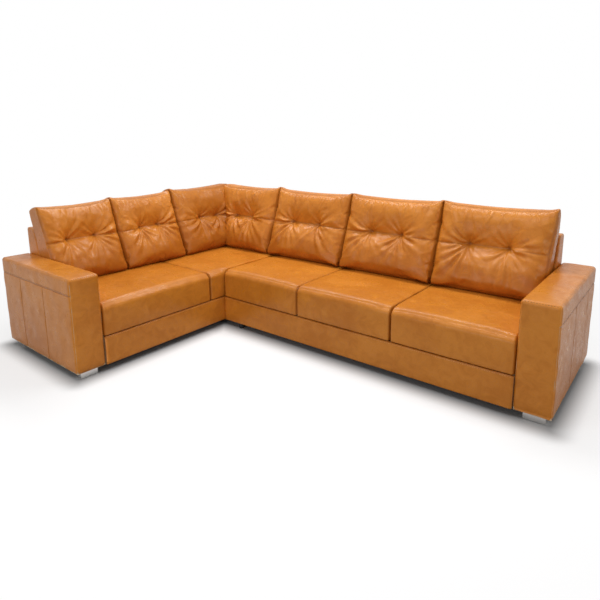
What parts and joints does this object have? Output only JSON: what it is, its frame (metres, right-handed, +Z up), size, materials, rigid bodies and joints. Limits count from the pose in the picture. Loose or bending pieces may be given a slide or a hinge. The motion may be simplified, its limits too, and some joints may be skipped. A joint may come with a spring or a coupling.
{
  "type": "corner sofa",
  "caption": "L-shaped corner sofa in two hooked modules, with block arms, boxed seats, tufted lift-off back pillows in leather and low metal bar feet.",
  "frame": {"origin": "on the floor, at the middle of the sofa's box", "axes": "+X along the long wing towards its arm, +Y towards the long wing's back, +Z up; the short wing runs towards -Y at the -X end"},
  "size_m": [3.175, 2.075, 0.962],
  "materials": {
    "leather": "semi-gloss cognac tan hide, lightly mottled",
    "foam": "open-cell foam",
    "pillow_fill": "fibre over foam",
    "timber": "sawn softwood",
    "plywood": "raw plywood",
    "webbing": "elastic weave",
    "lining": "non-woven cloth",
    "polished_metal": "polished",
    "black_plastic": "matte",
    "zinc_steel": "zinc plated"
  },
  "bodies": {
    "sofa": {"right_base_cover": "leather", "left_base_cover": "leather", "right_back_cover": "leather", "left_back_cover": "leather", "corner_back_cover": "leather", "right_arm_cover": "leather", "left_arm_cover": "leather", "seat_1_cover": "leather", "seat_2_cover": "leather", "seat_3_cover": "leather", "corner_seat_cover": "leather", "left_seat_cover": "leather", "seat_1_filling": "foam", "seat_2_filling": "foam", "seat_3_filling": "foam", "corner_seat_filling": "foam", "left_seat_filling": "foam", "right_back_foam": "foam", "left_back_foam": "foam", "corner_back_foam": "foam", "right_arm_foam": "foam", "left_arm_foam": "foam", "right_back_frame": "timber", "left_back_frame": "timber", "corner_back_frame": "timber", "right_arm_frame": "timber", "left_arm_frame": "timber", "right_base_rails": "timber", "left_base_rails": "timber", "right_cross_rails": "timber", "left_cross_rails": "timber", "right_arm_panels": "plywood", "left_arm_panels": "plywood", "right_webbing": "webbing", "left_webbing": "webbing", "right_dust_cover": "lining", "left_dust_cover": "lining", "metal_feet": "polished_metal", "plastic_glides": "black_plastic", "foot_studs": "zinc_steel", "connector_tongues": "zinc_steel", "connector_sockets": "zinc_steel"},
    "pillow_1": {"pillow_1_cover": "leather", "pillow_1_filling": "pillow_fill"},
    "pillow_2": {"pillow_2_cover": "leather", "pillow_2_filling": "pillow_fill"},
    "pillow_3": {"pillow_3_cover": "leather", "pillow_3_filling": "pillow_fill"},
    "corner_pillow": {"corner_pillow_cover": "leather", "corner_pillow_filling": "pillow_fill"},
    "left_pillow_1": {"left_pillow_1_cover": "leather", "left_pillow_1_filling": "pillow_fill"},
    "left_pillow_2": {"left_pillow_2_cover": "leather", "left_pillow_2_filling": "pillow_fill"},
    "left_pillow_3": {"left_pillow_3_cover": "leather", "left_pillow_3_filling": "pillow_fill"}
  },
  "joints": [
    {"name": "pillow_1_lift", "type": "slide", "parent": "sofa", "child": "pillow_1", "axis": [0, 0.2169, 0.9762], "range_m": [0, 0.5]},
    {"name": "pillow_2_lift", "type": "slide", "parent": "sofa", "child": "pillow_2", "axis": [0, 0.2169, 0.9762], "range_m": [0, 0.5]},
    {"name": "pillow_3_lift", "type": "slide", "parent": "sofa", "child": "pillow_3", "axis": [0, 0.2169, 0.9762], "range_m": [0, 0.5]},
    {"name": "corner_pillow_lift", "type": "slide", "parent": "sofa", "child": "corner_pillow", "axis": [0, 0.2169, 0.9762], "range_m": [0, 0.5]},
    {"name": "left_pillow_1_lift", "type": "slide", "parent": "sofa", "child": "left_pillow_1", "axis": [-0.2169, 0, 0.9762], "range_m": [0, 0.5]},
    {"name": "left_pillow_2_lift", "type": "slide", "parent": "sofa", "child": "left_pillow_2", "axis": [-0.2169, 0, 0.9762], "range_m": [0, 0.5]},
    {"name": "left_pillow_3_lift", "type": "slide", "parent": "sofa", "child": "left_pillow_3", "axis": [-0.2169, 0, 0.9762], "range_m": [0, 0.5]}
  ]
}
